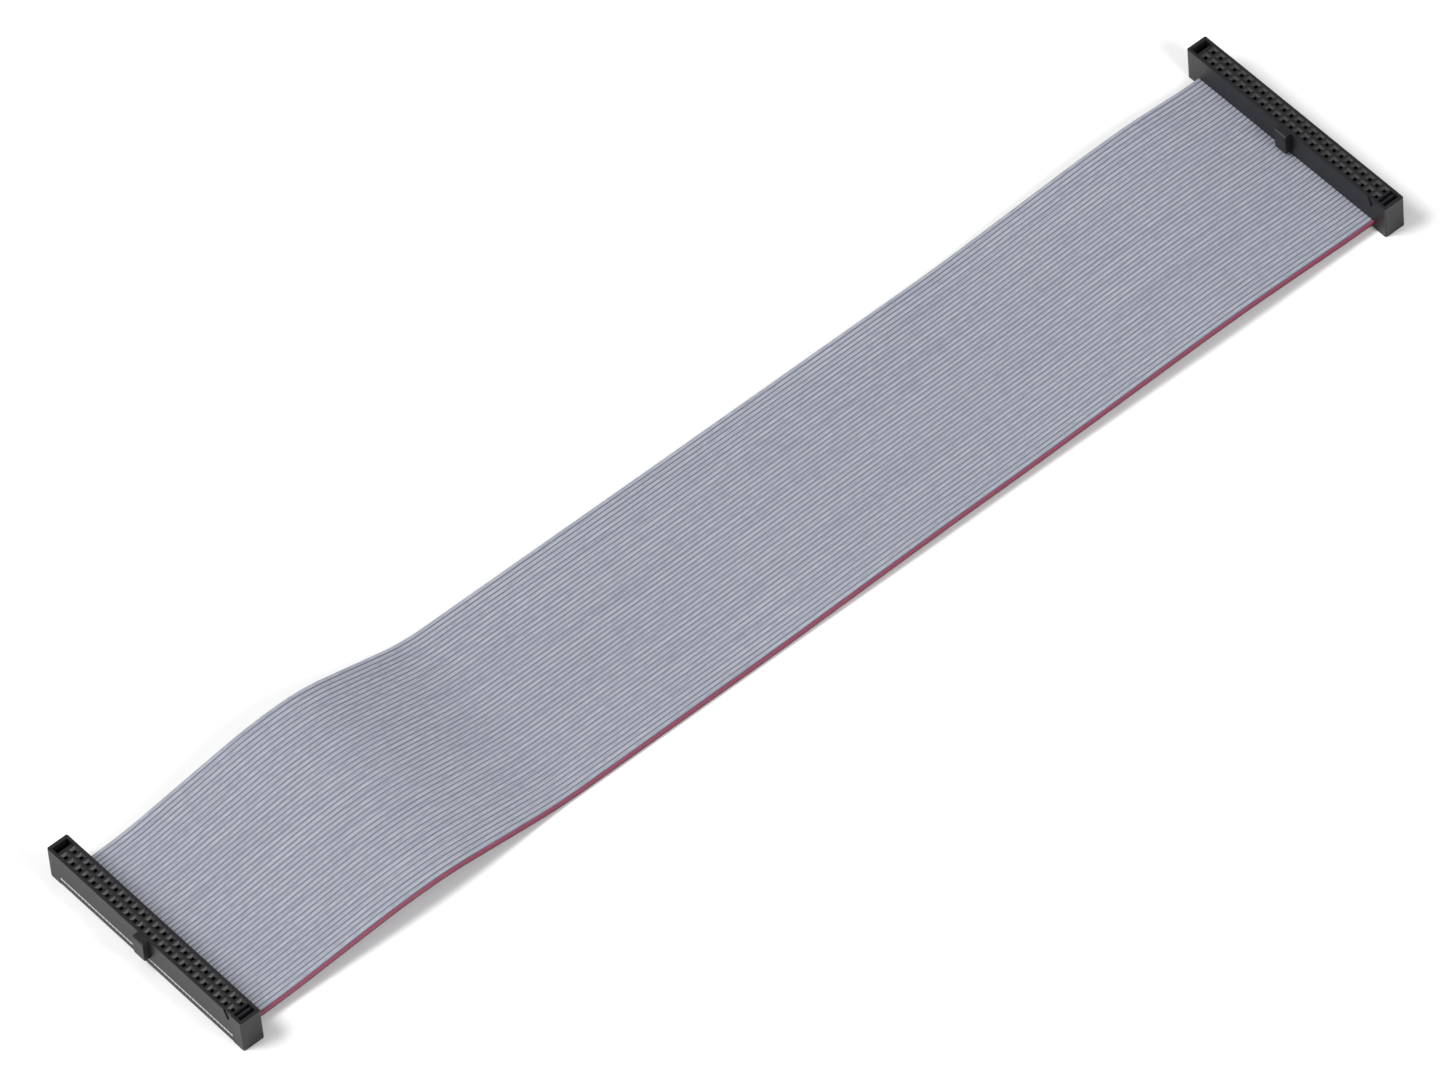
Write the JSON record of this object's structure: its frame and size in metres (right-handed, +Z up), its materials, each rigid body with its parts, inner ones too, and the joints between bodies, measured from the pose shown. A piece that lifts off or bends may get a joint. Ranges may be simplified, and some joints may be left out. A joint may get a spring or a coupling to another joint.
{
  "type": "ribbon cable assembly",
  "caption": "Flat grey ribbon cable with a marked first conductor and a black pin-header socket pressed on at each end.",
  "frame": {"origin": "centre of the assembly's footprint, on the surface that it lies on", "axes": "+X along the cable from the left to the right socket, +Y across it away from the marked first conductor, +Z up out of the sockets' mating faces"},
  "size_m": [0.3628, 0.071, 0.01],
  "materials": {
    "insulation": "satin",
    "wire": "metallic",
    "housing": "matte",
    "contact": "metallic"
  },
  "bodies": {
    "root": {"ribbon_insulation": "insulation", "left_conductor_ends": "wire", "left_socket_body": "housing", "left_cover": "housing", "left_odd_contacts": "contact", "left_even_contacts": "contact", "right_conductor_ends": "wire", "right_socket_body": "housing", "right_cover": "housing", "right_odd_contacts": "contact", "right_even_contacts": "contact"}
  },
  "joints": []
}
